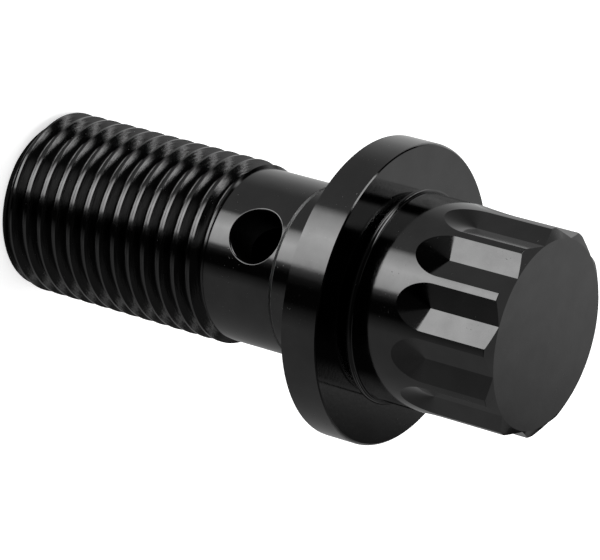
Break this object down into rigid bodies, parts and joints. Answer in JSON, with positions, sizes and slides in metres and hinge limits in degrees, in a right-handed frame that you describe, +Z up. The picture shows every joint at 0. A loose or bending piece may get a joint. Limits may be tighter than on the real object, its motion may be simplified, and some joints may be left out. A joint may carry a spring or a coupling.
{
  "type": "banjo bolt",
  "caption": "Hollow fine-thread bolt with a cross-drilled shank, a round flange and a twelve-point head, for sealing a banjo fitting.",
  "frame": {"origin": "centre of the thread end, on the plane that the bolt stands on", "axes": "+Z up the bolt's axis, from the thread end to the head; the cross hole runs along Y"},
  "size_m": [0.0162, 0.0162, 0.0319],
  "materials": {
    "black_metal": "gloss black anodised or black plated metal, smooth and machined"
  },
  "bodies": {
    "root": {"banjo_bolt": "black_metal"}
  },
  "joints": []
}
